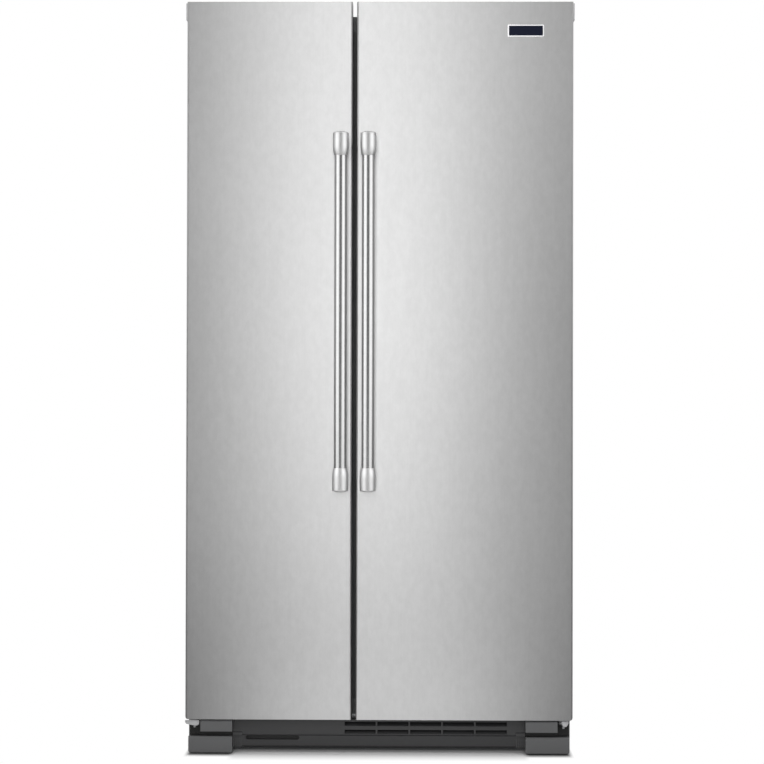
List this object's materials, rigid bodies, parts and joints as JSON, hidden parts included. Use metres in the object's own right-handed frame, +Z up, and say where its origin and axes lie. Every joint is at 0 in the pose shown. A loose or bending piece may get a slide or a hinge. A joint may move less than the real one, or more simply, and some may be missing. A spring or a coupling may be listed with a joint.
{
  "type": "side by side refrigerator",
  "caption": "Side by side refrigerator with a narrow freezer door and a wide fridge door, round bar handles, toe grille, shelves, drawers and door bins",
  "frame": {"origin": "centre of the footprint on the floor, handles included", "axes": "+X to the right seen from the front, +Y from the doors to the back, +Z up"},
  "size_m": [0.906, 0.857, 1.751],
  "materials": {
    "outer_case": "textured satin paint",
    "back_panel": "galvanised satin",
    "cabinet_foam": "rigid foam, matte",
    "base_frame": "galvanised satin",
    "freezer_liner": "gloss",
    "fridge_liner": "gloss",
    "centre_rail_cover": "satin paint",
    "machine_cover": "galvanised satin",
    "compressor": "gloss black paint",
    "condenser": "satin black paint",
    "fan_housings": "matte",
    "drain_pan": "matte",
    "evaporator": "bare",
    "evaporator_cover": "satin",
    "front_grille": "satin",
    "foot_covers": "satin",
    "top_hinges": "plated",
    "top_hinge_covers": "satin",
    "bottom_hinges": "plated",
    "hinge_screws": "plated",
    "control_housings": "satin",
    "lamp_lenses": "translucent",
    "shelf_tracks": "satin paint",
    "fridge_shelf_frames": "satin",
    "freezer_shelf_frames": "satin",
    "shelf_glass": "clear",
    "drawer_covers": "satin",
    "rear_roller": "matte",
    "levelling_leg": "matte",
    "condenser_fan": "matte",
    "evaporator_fan": "matte",
    "clear_drawer": "clear plastic",
    "freezer_basket": "frosted",
    "knob": "satin",
    "switch": "satin",
    "door_skin": "brushed",
    "door_foam": "rigid foam, matte",
    "door_liner": "gloss",
    "door_gasket": "matte",
    "door_caps": "satin",
    "handle_bar": "brushed",
    "handle_caps": "satin",
    "door_bins": "clear plastic",
    "dairy_cover": "clear plastic",
    "badge_plate": "polished"
  },
  "bodies": {
    "cabinet": {"outer_case": "outer_case", "back_panel": "back_panel", "cabinet_foam": "cabinet_foam", "base_frame": "base_frame", "freezer_liner": "freezer_liner", "fridge_liner": "fridge_liner", "centre_rail_cover": "centre_rail_cover", "machine_cover": "machine_cover", "compressor": "compressor", "condenser": "condenser", "fan_housings": "fan_housings", "drain_pan": "drain_pan", "evaporator": "evaporator", "evaporator_cover": "evaporator_cover", "front_grille": "front_grille", "foot_covers": "foot_covers", "top_hinges": "top_hinges", "top_hinge_covers": "top_hinge_covers", "bottom_hinges": "bottom_hinges", "hinge_screws": "hinge_screws", "control_housings": "control_housings", "lamp_lenses": "lamp_lenses", "shelf_tracks": "shelf_tracks", "fridge_shelf_frames": "fridge_shelf_frames", "freezer_shelf_frames": "freezer_shelf_frames", "shelf_glass": "shelf_glass", "drawer_covers": "drawer_covers"},
    "freezer_door": {"freezer_door_skin": "door_skin", "freezer_door_foam": "door_foam", "freezer_door_liner": "door_liner", "freezer_door_gasket": "door_gasket", "freezer_door_caps": "door_caps", "freezer_handle_bar": "handle_bar", "freezer_handle_caps": "handle_caps", "freezer_door_bins": "door_bins"},
    "fridge_door": {"fridge_door_skin": "door_skin", "fridge_door_foam": "door_foam", "fridge_door_liner": "door_liner", "fridge_door_gasket": "door_gasket", "fridge_door_caps": "door_caps", "fridge_handle_bar": "handle_bar", "fridge_handle_caps": "handle_caps", "fridge_door_bins": "door_bins", "badge_plate": "badge_plate"},
    "rear_roller_left": {"rear_roller_left": "rear_roller"},
    "rear_roller_right": {"rear_roller_right": "rear_roller"},
    "levelling_leg_left": {"levelling_leg_left": "levelling_leg"},
    "levelling_leg_right": {"levelling_leg_right": "levelling_leg"},
    "condenser_fan": {"condenser_fan": "condenser_fan"},
    "evaporator_fan": {"evaporator_fan": "evaporator_fan"},
    "deli_drawer": {"deli_drawer": "clear_drawer"},
    "crisper_upper": {"crisper_upper": "clear_drawer"},
    "crisper_lower": {"crisper_lower": "clear_drawer"},
    "freezer_basket_upper": {"freezer_basket_upper": "freezer_basket"},
    "freezer_basket_lower": {"freezer_basket_lower": "freezer_basket"},
    "fridge_control_knob": {"fridge_control_knob": "knob"},
    "freezer_control_knob": {"freezer_control_knob": "knob"},
    "fridge_light_switch": {"fridge_light_switch": "switch"},
    "freezer_light_switch": {"freezer_light_switch": "switch"},
    "dairy_cover": {"dairy_cover": "dairy_cover"}
  },
  "joints": [
    {"name": "freezer_door_swing", "type": "hinge", "parent": "cabinet", "child": "freezer_door", "pos_m": [-0.43, -0.335, 0.9], "axis": [0, 0, -1], "range_deg": [0, 120]},
    {"name": "fridge_door_swing", "type": "hinge", "parent": "cabinet", "child": "fridge_door", "pos_m": [0.43, -0.335, 0.9], "axis": [0, 0, 1], "range_deg": [0, 120]},
    {"name": "deli_drawer_slide", "type": "slide", "parent": "cabinet", "child": "deli_drawer", "axis": [0, -1, 0], "range_m": [0, 0.088]},
    {"name": "crisper_upper_slide", "type": "slide", "parent": "cabinet", "child": "crisper_upper", "axis": [0, -1, 0], "range_m": [0, 0.088]},
    {"name": "crisper_lower_slide", "type": "slide", "parent": "cabinet", "child": "crisper_lower", "axis": [0, -1, 0], "range_m": [0, 0.052]},
    {"name": "freezer_basket_upper_slide", "type": "slide", "parent": "cabinet", "child": "freezer_basket_upper", "axis": [0, -1, 0], "range_m": [0, 0.088]},
    {"name": "freezer_basket_lower_slide", "type": "slide", "parent": "cabinet", "child": "freezer_basket_lower", "axis": [0, -1, 0], "range_m": [0, 0.052]},
    {"name": "dairy_cover_flip", "type": "hinge", "parent": "fridge_door", "child": "dairy_cover", "pos_m": [0.187, -0.2087, 1.578], "axis": [1, 0, 0], "range_deg": [0, 90]},
    {"name": "fridge_knob_turn", "type": "hinge", "parent": "cabinet", "child": "fridge_control_knob", "pos_m": [0.093, -0.2386, 1.64], "axis": [0, 1, 0], "range_deg": [-135, 135]},
    {"name": "freezer_knob_turn", "type": "hinge", "parent": "cabinet", "child": "freezer_control_knob", "pos_m": [0.28, -0.2386, 1.64], "axis": [0, 1, 0], "range_deg": [-135, 135]},
    {"name": "fridge_switch_press", "type": "slide", "parent": "cabinet", "child": "fridge_light_switch", "axis": [0, 1, 0], "range_m": [0, 0.008], "stiffness_N_per_m": 120},
    {"name": "freezer_switch_press", "type": "slide", "parent": "cabinet", "child": "freezer_light_switch", "axis": [0, 1, 0], "range_m": [0, 0.008], "stiffness_N_per_m": 120},
    {"name": "rear_roller_left_spin", "type": "hinge", "parent": "cabinet", "child": "rear_roller_left", "pos_m": [-0.396, 0.3585, 0.02], "axis": [1, 0, 0], "continuous": true},
    {"name": "levelling_leg_left_turn", "type": "hinge", "parent": "cabinet", "child": "levelling_leg_left", "pos_m": [-0.396, -0.254, 0.03], "axis": [0, 0, 1], "continuous": true},
    {"name": "rear_roller_right_spin", "type": "hinge", "parent": "cabinet", "child": "rear_roller_right", "pos_m": [0.396, 0.3585, 0.02], "axis": [1, 0, 0], "continuous": true},
    {"name": "levelling_leg_right_turn", "type": "hinge", "parent": "cabinet", "child": "levelling_leg_right", "pos_m": [0.396, -0.254, 0.03], "axis": [0, 0, 1], "continuous": true},
    {"name": "condenser_fan_spin", "type": "hinge", "parent": "cabinet", "child": "condenser_fan", "pos_m": [-0.02, 0.307, 0.157], "axis": [1, 0, 0], "continuous": true},
    {"name": "evaporator_fan_spin", "type": "hinge", "parent": "cabinet", "child": "evaporator_fan", "pos_m": [-0.2395, 0.3125, 1.18], "axis": [0, 1, 0], "continuous": true}
  ]
}
